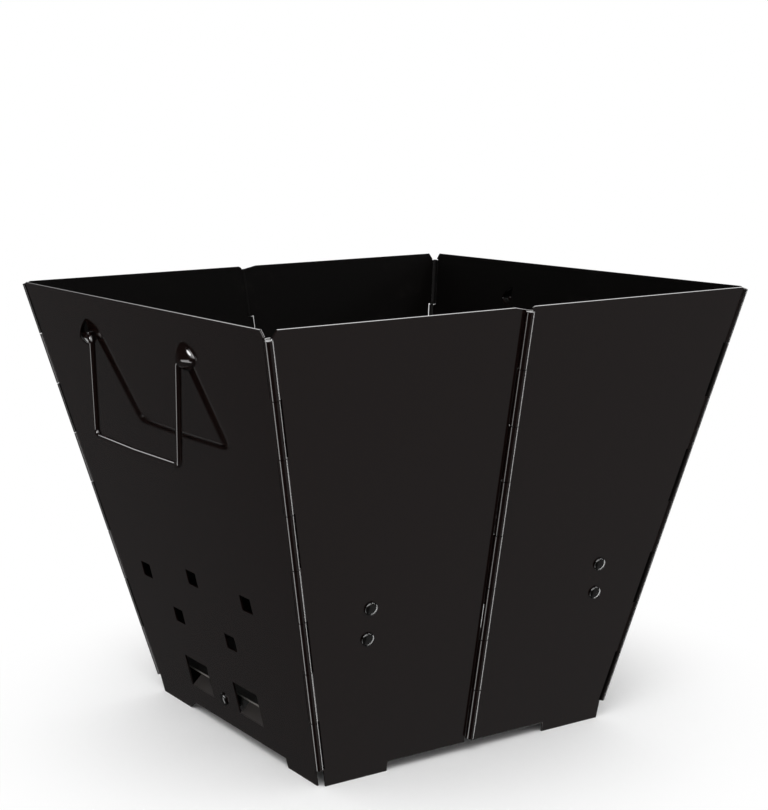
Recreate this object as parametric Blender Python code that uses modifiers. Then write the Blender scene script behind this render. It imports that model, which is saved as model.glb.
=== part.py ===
"""Folding fire basket: four sloping steel walls on rolled hinges, bail handles, a grate and a base plate.

Metres, +Z up, the origin on the ground under the middle. The front wall is at -Y, the left one at -X.
A wall is drawn in its own frame: X along it, Y up its slope, Z out of its outer face.
"""

import math

import bmesh
import bpy
from mathutils import Matrix, Vector

# Basket
RIM_HALF = 0.200
GROUND_HALF = 0.1254
HEIGHT = 0.335
SHEET = 0.0015
GAP = 0.0003

# Rolled hinges, whose knuckles are counted from the ground
KNUCKLES = 8
SIDE_KNUCKLES = (0, 2, 4, 6)
HALF_KNUCKLES = (1, 3, 5, 7)
KNUCKLE_RADIUS = 0.0032
KNUCKLE_GAP = 0.0004
RECESS_GAP = 0.0004
LOOSE_KNUCKLE_GAP = 0.0008
LOOSE_RECESS_GAP = 0.0009
CORNER_DEPTH = 0.0021
CORNER_ROLL = (175, -150)
CORNER_TAB = 0.0022
CENTRE_ROLL = (90, -205)
CENTRE_TAB = -0.0003
ROLL_STEPS = 14
ROLL_SINK = 0.00002
ROLL_SHORTER = 0.0001
CUT_CORNER_STACK = (0.0143, 0.3444)
ROUND_CORNER_STACK = (0.0143, 0.3496)
CENTRE_STACK = (0.0120, 0.3412)
PIN_RADIUS = 0.00155
THIN_PIN_RADIUS = 0.0007
PIN_INSET = 0.0005

# Wall outline
FOOT_RISE = 0.0077
BELOW_GROUND = 0.001
CORNER_CUT_ALONG = 0.0038
CORNER_CUT_DOWN = 0.0048
CORNER_ROUND = 0.0014
CORNER_FOOT_INSET = 0.0019
CENTRE_ROUND = 0.0035
CENTRE_SLOPE_ALONG = 0.0110
HALF_FOOT_INNER = 0.0700
SIDE_FOOT_NEAR = 0.0800
SIDE_FOOT_FAR = 0.0760
SIDE_FOOT_FAR_TOP = 0.0634

# Side wall openings
VENT_SIZE = (0.0155, 0.0120)
VENT_SPACING = 0.0423
VENT_SHIFT = -0.0092
VENT_ROWS = (0.1160, 0.0870, 0.1285, 0.0871, 0.1286)
WINDOW_SIZE = (0.0370, 0.0260)
WINDOW_CENTRES = (-0.0421, 0.0366)
WINDOW_MIDDLE = 0.0380
TONGUE_LENGTH = 0.0110
TONGUE_RISE = math.radians(43)
TONGUE_SIDE_GAP = 0.0010
TONGUE_ROOT = 0.0004

# Handle, and the pressed ears that hold it
HANDLE_SHIFT = -0.0035
PIVOT_UP = 0.3115
PIVOT_OUT = 0.0029
HANDLE_RADIUS = 0.0024
HANDLE_LEG = 0.0722
HANDLE_FOOT = 0.0691
HANDLE_END = 0.0842
HANDLE_DROP = 0.0748
HANDLE_BOW = 0.0010
HANDLE_END_BEND = 0.0055
HANDLE_CORNER_BEND = 0.0060
EAR_SHIFT = -0.0055
EAR_SLIT = 0.0805
EAR_LENGTH = 0.0150
EAR_UP = 0.0119
EAR_DOWN = 0.0094
EAR_PROUD = 0.0080
EAR_POWER = 1.4
EAR_ROOT = 0.0008
HOLLOW_MOUTH = -0.03
HOLLOW_PROUD = 0.0071
HOLLOW_POWER = 1.5
HOLLOW_DEPTH = 0.0060

# Grate brackets and rivets
BRACKET_ALONG = 0.100
BRACKET_RIVETS = (0.1130, 0.1365)
BRACKET_FOOT = 0.1040
BRACKET_TOP = 0.1460
BRACKET_WIDTH = 0.0180
BRACKET_SHEET = 0.0020
BRACKET_LEDGE = 0.0120
RIVET_HOLE = 0.0023
RIVET_SHANK = 0.0020
RIVET_HEAD = 0.0050
RIVET_DOME = 0.0026
RIVET_TAIL = 0.0036
RIVET_TAIL_HEIGHT = 0.0014
RIVET_TAIL_TAPER = 0.8
DRILL_LENGTH = 0.012

# Base catch, base plate and fire grate
CATCH_ALONG = -0.0051
CATCH_RIVET = 0.0295
CATCH_TOP = 0.0360
CATCH_FOOT = 0.0215
CATCH_DEPTH = 0.0090
CATCH_WIDTH = 0.0140
BASE_HALF = 0.1240
PLATE_CORNER = 0.0080
GRATE_HALF = 0.1485
GRATE_SHEET = 0.0025
GRATE_SLOT = (0.0560, 0.0115)
GRATE_COLUMNS = 4
GRATE_ROWS = 11
GRATE_SPACING = (0.0680, 0.0240)

TILT = math.atan2(RIM_HALF - GROUND_HALF, HEIGHT)
SLANT = HEIGHT / math.cos(TILT)
EDGE_LEAN = math.atan(math.sin(TILT))
CORNER_ANGLE = math.pi - math.acos(math.sin(TILT) ** 2)
CORNER_AXIS_INSET = CORNER_DEPTH / math.tan(CORNER_ANGLE / 2)
CENTRE_AXIS_OUT = KNUCKLE_RADIUS - SHEET
FRONT, RIGHT, BACK, LEFT = 0, 1, 2, 3

SHARP_FROM = math.radians(35)
AXIS_MARK = 0.03

COAT = (0.020, 0.019, 0.018)
FINISHES = {
    "sheet": (COAT, 0.35, 0.0),
    "wire": (COAT, 0.30, 0.0),
    "rivet": ((0.025, 0.024, 0.023), 0.25, 0.0),
    "pin": ((0.10, 0.10, 0.10), 0.40, 1.0),
    "inner": ((0.045, 0.043, 0.041), 0.55, 0.0),
}


def wall_frame(wall):
    """Frame of a wall's outer face, at the middle of its ground line."""
    s, c = math.sin(TILT), math.cos(TILT)
    front = Matrix(((1, 0, 0, 0), (0, -s, -c, -GROUND_HALF), (0, c, -s, 0), (0, 0, 0, 1)))
    return Matrix.Rotation(wall * math.pi / 2, 4, "Z") @ front


def height_at(up, out):
    """Height above the ground of a point of a wall's frame."""
    return up * math.cos(TILT) - out * math.sin(TILT)


class Edge:
    """A hinged edge of a wall: t runs up along it and d from it into the wall.

    A loose edge has more room round its knuckles, for the hinge where the ring of walls is opened.
    """

    def __init__(self, start, lean, inward, axis_inset, axis_out, stack, tab, roll, loose=False):
        self.start = Vector((start, 0))
        self.up = Vector((math.sin(lean), math.cos(lean)))
        self.inward = Vector((self.up.y, -self.up.x)) * inward
        self.axis_inset = axis_inset
        self.axis_out = axis_out
        self.stack = stack
        self.roll = roll
        self.knuckle_gap = LOOSE_KNUCKLE_GAP if loose else KNUCKLE_GAP
        self.tab = axis_inset + tab
        self.recess = axis_inset + KNUCKLE_RADIUS + (LOOSE_RECESS_GAP if loose else RECESS_GAP)

    def point(self, t, d):
        return self.start + self.up * t + self.inward * d

    def at_height(self, y, d):
        """The point y up the slope on the line d inside the edge."""
        return self.point((y - self.inward.y * d) / self.up.y, d)

    def knuckle_span(self, index):
        """Lower and upper end of a knuckle."""
        low, high = self.stack
        pitch = (high - low) / KNUCKLES
        return low + pitch * index + self.knuckle_gap / 2, low + pitch * (index + 1) - self.knuckle_gap / 2

    def axis_point(self, t):
        return self.point(t, self.axis_inset).to_3d() + Vector((0, 0, self.axis_out))


def corner_edge(side, cut, loose=False):
    """The left (-1) or right (+1) edge of a wall, whose knuckles curl inward from a slight bend outward.

    At a corner where the rim is cut the hinge ends below the cut, and at a round one it reaches the rim.
    """
    start = side * GROUND_HALF
    lean = side * EDGE_LEAN
    axis = (CORNER_AXIS_INSET, -CORNER_DEPTH)
    stack = CUT_CORNER_STACK if cut else ROUND_CORNER_STACK
    return Edge(start, lean, -side, *axis, stack, CORNER_TAB, CORNER_ROLL, loose)


def centre_edge(side):
    """The middle edge of the left (-1) or right (+1) half wall, whose knuckles are rolled outward."""
    return Edge(0, 0, side, 0, CENTRE_AXIS_OUT, CENTRE_STACK, CENTRE_TAB, CENTRE_ROLL)


def arc(radius, start, end, steps):
    """Points on an arc round the origin, from start to end degrees."""
    angles = [math.radians(start + (end - start) * i / steps) for i in range(steps + 1)]
    return [Vector((radius * math.cos(a), radius * math.sin(a))) for a in angles]


def circle(centre, radius, steps=12):
    return [Vector(centre) + point for point in arc(radius, 0, 360, steps)[:-1]]


def rectangle(centre, size):
    x, y = size[0] / 2, size[1] / 2
    return [Vector(centre) + Vector((a * x, b * y)) for a, b in ((-1, -1), (1, -1), (1, 1), (-1, 1))]


def fillet(before, corner, after, radius, steps=5):
    """Points of the arc that rounds a corner."""
    to_before = (before - corner).normalized()
    to_after = (after - corner).normalized()
    half = to_before.angle(to_after) / 2
    reach = radius / math.tan(half)
    centre = corner + (to_before + to_after).normalized() * (radius / math.sin(half))
    first = (corner + to_before * reach - centre).normalized()
    last = (corner + to_after * reach - centre).normalized()
    return [centre + first.slerp(last, i / steps) * radius for i in range(steps + 1)]


def rounded(points, radii):
    """An open path whose inner points are rounded."""
    path = [points[0]]
    for before, corner, after, radius in zip(points, points[1:], points[2:], radii):
        path += fillet(before, corner, after, radius) if radius else [corner]
    return path + [points[-1]]


def strip(path, thickness):
    """Outline of a bent strip that lies to the left of a path."""
    ahead = [(b - a).normalized() for a, b in zip(path, path[1:])]
    left = [Vector((-a.y, a.x)) for a in ahead]
    offset = [path[0] + left[0] * thickness]
    for point, n, m in zip(path[1:], left, left[1:]):
        offset.append(point + (n + m) * (thickness / (1 + n.dot(m))))
    offset.append(path[-1] + left[-1] * thickness)
    return path + offset[::-1]


def cleaned(mesh):
    """Welds a mesh into a closed one whose faces point out."""
    bm = bmesh.new()
    bm.from_mesh(mesh)
    bmesh.ops.remove_doubles(bm, verts=bm.verts, dist=1e-6)
    bmesh.ops.recalc_face_normals(bm, faces=bm.faces)
    bm.to_mesh(mesh)
    bm.free()
    return mesh


def evaluated_mesh(obj):
    """The mesh of an object with its modifiers applied; the object is removed."""
    bpy.context.scene.collection.objects.link(obj)
    bpy.context.view_layer.update()
    mesh = bpy.data.meshes.new_from_object(obj.evaluated_get(bpy.context.evaluated_depsgraph_get()))
    bpy.data.objects.remove(obj)
    return mesh


def extruded(loops, thickness):
    """A flat outline with holes, as a solid centred on its thickness along Z."""
    curve = bpy.data.curves.new("outline", "CURVE")
    curve.dimensions = "2D"
    curve.fill_mode = "BOTH"
    curve.extrude = thickness / 2
    for loop in loops:
        spline = curve.splines.new("POLY")
        spline.points.add(len(loop) - 1)
        for point, corner in zip(spline.points, loop):
            point.co = (corner[0], corner[1], 0, 1)
        spline.use_cyclic_u = True
    return cleaned(evaluated_mesh(bpy.data.objects.new("outline", curve)))


def wire(points, radius):
    """A round wire along a path, with closed ends."""
    curve = bpy.data.curves.new("wire", "CURVE")
    curve.dimensions = "3D"
    curve.bevel_depth = radius
    curve.bevel_resolution = 3
    curve.use_fill_caps = True
    spline = curve.splines.new("POLY")
    spline.points.add(len(points) - 1)
    for point, place in zip(spline.points, points):
        point.co = (*place, 1)
    return cleaned(evaluated_mesh(bpy.data.objects.new("wire", curve)))


def turned(profile, steps=12):
    """A solid turned about Z from a profile of (radius, height) points, top to bottom."""
    mesh = bpy.data.meshes.new("profile")
    vertices = [(radius, 0, height) for radius, height in profile]
    mesh.from_pydata(vertices, [(i, i + 1) for i in range(len(profile) - 1)], [])
    obj = bpy.data.objects.new("profile", mesh)
    screw = obj.modifiers.new("turn", "SCREW")
    screw.steps = steps
    screw.render_steps = steps
    screw.use_merge_vertices = True
    screw.merge_threshold = 1e-5
    return cleaned(evaluated_mesh(obj))


def joined(pieces):
    """One mesh of (mesh, matrix) pieces, each still a body of its own."""
    bm = bmesh.new()
    for mesh, matrix in pieces:
        placed = mesh.copy()
        placed.transform(matrix)
        bm.from_mesh(placed)
        bpy.data.meshes.remove(placed)
    bmesh.ops.recalc_face_normals(bm, faces=bm.faces)
    result = bpy.data.meshes.new("joined")
    bm.to_mesh(result)
    bm.free()
    return result


def combined(mesh, tool, operation):
    """Boolean of two meshes."""
    cutter = bpy.data.objects.new("cutter", tool)
    bpy.context.scene.collection.objects.link(cutter)
    base = bpy.data.objects.new("base", mesh)
    boolean = base.modifiers.new("boolean", "BOOLEAN")
    boolean.solver = "EXACT"
    boolean.operation = operation
    boolean.object = cutter
    result = evaluated_mesh(base)
    bpy.data.objects.remove(cutter)
    return result


def cut_at_ground(mesh):
    """Cuts a wall level with the ground, so that its feet stand on flat faces."""
    to_wall = wall_frame(FRONT).inverted()
    bm = bmesh.new()
    bm.from_mesh(mesh)
    everything = bm.verts[:] + bm.edges[:] + bm.faces[:]
    ground = to_wall @ Vector((0, 0, 0))
    down = to_wall.to_3x3() @ Vector((0, 0, -1))
    cut = bmesh.ops.bisect_plane(bm, geom=everything, plane_co=ground, plane_no=down, clear_outer=True)
    rim = [part for part in cut["geom_cut"] if isinstance(part, bmesh.types.BMEdge)]
    bmesh.ops.holes_fill(bm, edges=rim)
    bmesh.ops.recalc_face_normals(bm, faces=bm.faces)
    bm.to_mesh(mesh)
    bm.free()
    return mesh


def stepped_edge(edge, base, step, indexes, widened):
    """An edge's outline up its stack: on the base line, but on the step line at some knuckles."""
    points = []
    for index in indexes:
        start, end = edge.knuckle_span(index)
        start -= widened
        end += widened
        points += [edge.point(start, base), edge.point(start, step)]
        points += [edge.point(end, step), edge.point(end, base)]
    return points


def corner_outline(edge, side, owned, cut):
    """A wall's outer edge from foot to rim: recessed at the neighbour's knuckles, its top cut or rounded."""
    neighbours = [index for index in range(KNUCKLES) if index not in owned]
    steps = stepped_edge(edge, edge.tab, edge.recess, neighbours, edge.knuckle_gap)
    top = edge.at_height(SLANT, edge.tab)
    if cut:
        cut_start = edge.at_height(SLANT - CORNER_CUT_DOWN, edge.tab)
        cut_end = top - Vector((side * CORNER_CUT_ALONG, 0))
        return [edge.at_height(-BELOW_GROUND, edge.tab), *steps, cut_start, cut_end]
    foot_end = Vector((side * (GROUND_HALF - CORNER_FOOT_INSET), -BELOW_GROUND))
    foot_start = edge.point(edge.stack[0] - edge.knuckle_gap, edge.tab)
    if KNUCKLES - 1 in neighbours:
        steps = steps[:-2]
        top = edge.at_height(SLANT, edge.recess)
    path = [foot_end, foot_start, *steps]
    return path + fillet(path[-1], top, top - Vector((side, 0)), CORNER_ROUND)


def centre_outline(side, owned):
    """A half wall's middle edge from its raised bottom to the rim: tabs where it owns the knuckle."""
    edge = centre_edge(side)
    points = [edge.point(FOOT_RISE, edge.recess)]
    points += stepped_edge(edge, edge.recess, edge.tab, owned, 0)
    if KNUCKLES - 1 in owned:
        return points[:-1] + [Vector((side * CENTRE_SLOPE_ALONG, SLANT))]
    top = edge.point(SLANT, edge.recess)
    return points + fillet(points[-1], top, top + Vector((side, 0)), CENTRE_ROUND)


def rolls(edge, owned):
    """The rolled knuckles that a wall owns on one edge, as (mesh, matrix) pieces."""
    start, end = edge.roll
    outer = arc(KNUCKLE_RADIUS - ROLL_SINK, start, end, ROLL_STEPS)
    inner = arc(KNUCKLE_RADIUS - SHEET - ROLL_SINK, end, start, ROLL_STEPS)
    outward = -edge.inward.to_3d()
    tangent_side = Vector((0, 0, -math.copysign(1, edge.axis_out)))
    turn = Matrix((outward, tangent_side, outward.cross(tangent_side))).transposed().to_4x4()
    pieces = []
    for index in owned:
        low, high = edge.knuckle_span(index)
        place = Matrix.Translation(edge.axis_point((low + high) / 2)) @ turn
        pieces.append((extruded([outer + inner], high - low - ROLL_SHORTER), place))
    return pieces


def profile_place(along):
    """Places an outline drawn in a wall's (up, out) plane, which is extruded along the wall."""
    turn = Matrix(((0, 0, 1), (1, 0, 0), (0, 1, 0))).to_4x4()
    return Matrix.Translation((along, 0, 0)) @ turn


def tongue_profile():
    """Outline of the tongue bent in from a window's lower edge."""
    lean = TONGUE_RISE - TILT
    ahead = Vector((math.sin(lean), -math.cos(lean)))
    root = Vector((WINDOW_MIDDLE - WINDOW_SIZE[1] / 2 - TONGUE_ROOT, -SHEET / 2))
    root -= Vector((-ahead.y, ahead.x)) * (SHEET / 2)
    return strip([root, root + ahead * TONGUE_LENGTH], SHEET)


def ear_form(side, mouth, wall_inset, proud, power, below):
    """Half of a pointed dome, open towards the handle: a pressed ear's outer form, or its hollow."""
    bm = bmesh.new()
    bmesh.ops.create_uvsphere(bm, u_segments=20, v_segments=12, radius=1)
    everything = bm.verts[:] + bm.edges[:] + bm.faces[:]
    cut = bmesh.ops.bisect_plane(
        bm, geom=everything, plane_co=(mouth, 0, 0), plane_no=(-1, 0, 0), clear_outer=True
    )
    rim = [part for part in cut["geom_cut"] if isinstance(part, bmesh.types.BMEdge)]
    bmesh.ops.holes_fill(bm, edges=rim)
    for vertex in bm.verts:
        reach = sum(abs(part) ** power for part in vertex.co) ** (1 / power)
        x, y, z = vertex.co / reach
        along = side * (EAR_SLIT + x * (EAR_LENGTH - wall_inset))
        up = y * ((EAR_UP if y > 0 else EAR_DOWN) - wall_inset)
        out = z * (proud if z > 0 else below)
        vertex.co = (EAR_SHIFT + along, PIVOT_UP + up, out)
    bmesh.ops.recalc_face_normals(bm, faces=bm.faces)
    mesh = bpy.data.meshes.new("ear")
    bm.to_mesh(mesh)
    bm.free()
    return mesh


def wall_sheet(outline, holes):
    """The flat sheet of a wall, its outer face at Z = 0."""
    mesh = extruded([outline, *holes], SHEET)
    mesh.transform(Matrix.Translation((0, 0, -SHEET / 2)))
    return mesh


def side_wall_mesh(loose=False):
    """A side wall: knuckles on both edges, vents, windows with tongues, and the ears."""
    near_edge = corner_edge(1, True, loose)
    far_edge = corner_edge(-1, False)
    far_foot_slope = (SIDE_FOOT_FAR - SIDE_FOOT_FAR_TOP) / FOOT_RISE
    bottom = [
        Vector((-SIDE_FOOT_FAR - far_foot_slope * BELOW_GROUND, -BELOW_GROUND)),
        Vector((-SIDE_FOOT_FAR_TOP, FOOT_RISE)),
        Vector((SIDE_FOOT_NEAR, FOOT_RISE)),
        Vector((SIDE_FOOT_NEAR, -BELOW_GROUND)),
    ]
    near = corner_outline(near_edge, 1, SIDE_KNUCKLES, cut=True)
    far = corner_outline(far_edge, -1, SIDE_KNUCKLES, cut=False)
    middle = (len(VENT_ROWS) - 1) / 2
    vents = [
        rectangle((VENT_SHIFT + (index - middle) * VENT_SPACING, row), VENT_SIZE)
        for index, row in enumerate(VENT_ROWS)
    ]
    windows = [rectangle((along, WINDOW_MIDDLE), WINDOW_SIZE) for along in WINDOW_CENTRES]
    rivet_hole = circle((CATCH_ALONG, CATCH_RIVET), RIVET_HOLE)
    sheet = wall_sheet(bottom + near + far[::-1], vents + windows + [rivet_hole])

    tongue = extruded([tongue_profile()], WINDOW_SIZE[0] - 2 * TONGUE_SIDE_GAP)
    still = Matrix.Identity(4)
    added = [(tongue, profile_place(along)) for along in WINDOW_CENTRES]
    added += [(ear_form(side, 0, 0, EAR_PROUD, EAR_POWER, EAR_ROOT), still) for side in (-1, 1)]
    wall = combined(sheet, joined(added), "UNION")
    hollow = (HOLLOW_MOUTH, SHEET, HOLLOW_PROUD, HOLLOW_POWER, HOLLOW_DEPTH)
    hollows = joined([(ear_form(side, *hollow), still) for side in (-1, 1)])
    wall = combined(wall, hollows, "DIFFERENCE")
    knuckles = rolls(far_edge, SIDE_KNUCKLES) + rolls(near_edge, SIDE_KNUCKLES)
    return cut_at_ground(combined(wall, joined(knuckles), "UNION"))


def half_wall_mesh(side, loose=False):
    """The left (-1) or right (+1) half of the front wall."""
    on_left = side < 0
    outer_edge = corner_edge(side, on_left, loose)
    owned = HALF_KNUCKLES if on_left else SIDE_KNUCKLES
    outer = corner_outline(outer_edge, side, HALF_KNUCKLES, cut=on_left)
    middle = centre_outline(side, owned)
    foot = [
        Vector((side * HALF_FOOT_INNER, -BELOW_GROUND)),
        Vector((side * HALF_FOOT_INNER, FOOT_RISE)),
    ]
    rivet_holes = [circle((side * BRACKET_ALONG, up), RIVET_HOLE) for up in BRACKET_RIVETS]
    sheet = wall_sheet(outer[::-1] + foot + middle, rivet_holes)
    knuckles = rolls(outer_edge, HALF_KNUCKLES) + rolls(centre_edge(side), owned)
    return cut_at_ground(combined(sheet, joined(knuckles), "UNION"))


def pin_mesh(edge, thin_at=()):
    """A hinge pin along its stack, thinner where the knuckle around it needs more room."""
    low, high = edge.stack
    low += PIN_INSET
    high -= PIN_INSET
    if not thin_at:
        return turned([(0, high), (PIN_RADIUS, high), (PIN_RADIUS, low), (0, low)])
    profile = [(0, high), (PIN_RADIUS, high)]
    for index in sorted(thin_at, reverse=True):
        start, end = edge.knuckle_span(index)
        start -= edge.knuckle_gap
        end += edge.knuckle_gap
        profile += [(PIN_RADIUS, end), (THIN_PIN_RADIUS, end)]
        if start <= low + edge.knuckle_gap:
            return turned(profile + [(THIN_PIN_RADIUS, low), (0, low)])
        profile += [(THIN_PIN_RADIUS, start), (PIN_RADIUS, start)]
    return turned(profile + [(PIN_RADIUS, low), (0, low)])


def axis_frame(wall, edge):
    """World frame on a hinge's axis, Z up along it."""
    frame = wall_frame(wall)
    foot = frame @ edge.axis_point(0)
    along = (frame @ edge.axis_point(1) - foot).normalized()
    return Matrix.Translation(foot) @ along.to_track_quat("Z", "Y").to_matrix().to_4x4()


def rivet_mesh(leaf):
    """A rivet through a wall and a leaf of some thickness, its head outside and its axis along Z."""
    grip = SHEET + GAP + leaf
    dome = [(RIVET_HEAD * p.x, GAP + RIVET_DOME * p.y) for p in arc(1, 90, 0, 4)]
    shank = [(RIVET_SHANK, GAP), (RIVET_SHANK, -grip - GAP)]
    low = -grip - GAP - RIVET_TAIL_HEIGHT
    tail = [(RIVET_TAIL, -grip - GAP), (RIVET_TAIL * RIVET_TAIL_TAPER, low), (0, low)]
    return turned([(0, dome[0][1])] + dome[1:] + shank + tail)


def bracket_mesh():
    """A grate bracket: a leg up the inside of the wall, and a level ledge at its top."""
    inner = -SHEET - GAP
    top = Vector((BRACKET_TOP, inner))
    ledge = top - Vector((math.sin(TILT), math.cos(TILT))) * BRACKET_LEDGE
    profile = strip([Vector((BRACKET_FOOT, inner)), top, ledge], -BRACKET_SHEET)
    mesh = extruded([profile], BRACKET_WIDTH)
    mesh.transform(profile_place(0))
    return drilled(mesh, BRACKET_RIVETS)


def catch_mesh(underside):
    """A base catch: a leg down the inside of the wall, and a hook that comes up under the base plate."""
    inner = -SHEET - GAP
    foot = Vector((CATCH_FOOT, inner))
    bend = foot - Vector((0, CATCH_DEPTH))
    rise = underside - GAP - height_at(*bend)
    tip = bend + Vector((math.cos(TILT), -math.sin(TILT))) * rise
    profile = strip([Vector((CATCH_TOP, inner)), foot, bend, tip], SHEET)
    mesh = extruded([profile], CATCH_WIDTH)
    mesh.transform(profile_place(0))
    return drilled(mesh, (CATCH_RIVET,))


def drilled(mesh, ups):
    """A bracket drilled for its rivets, which are at the middle of its width."""
    drills = []
    for up in ups:
        drill = extruded([circle((0, 0), RIVET_HOLE)], DRILL_LENGTH)
        drills.append((drill, Matrix.Translation((0, up, -SHEET - GAP))))
    return combined(mesh, joined(drills), "DIFFERENCE")


def plate_mesh(half, thickness, slots):
    """A square plate with cut corners, standing on Z = 0."""
    a, b = half, half - PLATE_CORNER
    corners = [(-b, -a), (b, -a), (a, -b), (a, b), (b, a), (-b, a), (-a, b), (-a, -b)]
    mesh = extruded([[Vector(corner) for corner in corners], *slots], thickness)
    mesh.transform(Matrix.Translation((0, 0, thickness / 2)))
    return mesh


def grate_slots():
    """The rows of slots that let air through the grate."""
    slots = []
    for column in range(GRATE_COLUMNS):
        for row in range(GRATE_ROWS):
            x = (column - (GRATE_COLUMNS - 1) / 2) * GRATE_SPACING[0]
            y = (row - (GRATE_ROWS - 1) / 2) * GRATE_SPACING[1]
            slots.append(rectangle((x, y), GRATE_SLOT))
    return slots


def handle_mesh():
    """A bail handle that hangs down from its pivot, which is the X axis."""
    corners = [
        (-HANDLE_END, 0),
        (-HANDLE_LEG, 0),
        (-HANDLE_FOOT, -HANDLE_DROP),
        (0, -HANDLE_DROP - HANDLE_BOW),
        (HANDLE_FOOT, -HANDLE_DROP),
        (HANDLE_LEG, 0),
        (HANDLE_END, 0),
    ]
    bends = [HANDLE_END_BEND, HANDLE_CORNER_BEND, 0, HANDLE_CORNER_BEND, HANDLE_END_BEND]
    path = rounded([Vector(corner) for corner in corners], bends)
    return wire([(p.x, 0, p.y) for p in path], HANDLE_RADIUS)


def handle_frame(wall):
    """World frame on a handle's pivot: X along the wall, Z straight up."""
    frame = wall_frame(wall)
    along = frame.to_3x3() @ Vector((1, 0, 0))
    up = Vector((0, 0, 1))
    turn = Matrix((along, up.cross(along), up)).transposed().to_4x4()
    return Matrix.Translation(frame @ Vector((HANDLE_SHIFT, PIVOT_UP, PIVOT_OUT))) @ turn


class Basket:
    """The scene's collection and the empties on the joint axes."""

    def __init__(self, name):
        for obj in list(bpy.data.objects):
            bpy.data.objects.remove(obj)
        self.collection = bpy.data.collections.new(name)
        bpy.context.scene.collection.children.link(self.collection)

    def axis(self, name, frame, parent=None):
        """An empty on a joint's axis, which carries the pieces that turn about it."""
        empty = bpy.data.objects.new(name, None)
        empty.empty_display_size = AXIS_MARK
        self.place(empty, frame, parent)
        return empty

    def place(self, obj, frame, parent):
        self.collection.objects.link(obj)
        if parent:
            bpy.context.view_layer.update()
            obj.parent = parent
            obj.matrix_parent_inverse = parent.matrix_world.inverted()
        obj.matrix_world = frame

    def piece(self, name, mesh, frame, finish, parent=None):
        """A named sub-part with a mesh and a material of its own."""
        own = mesh.copy()
        own.name = name
        own.shade_smooth()
        own.set_sharp_from_angle(angle=SHARP_FROM)
        colour, roughness, metallic = FINISHES[finish]
        material = bpy.data.materials.new(name)
        material.use_nodes = True
        shader = material.node_tree.nodes["Principled BSDF"]
        shader.inputs["Base Color"].default_value = (*colour, 1)
        shader.inputs["Roughness"].default_value = roughness
        shader.inputs["Metallic"].default_value = metallic
        own.materials.clear()
        own.materials.append(material)
        obj = bpy.data.objects.new(name, own)
        self.place(obj, frame, parent)
        return obj


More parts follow.
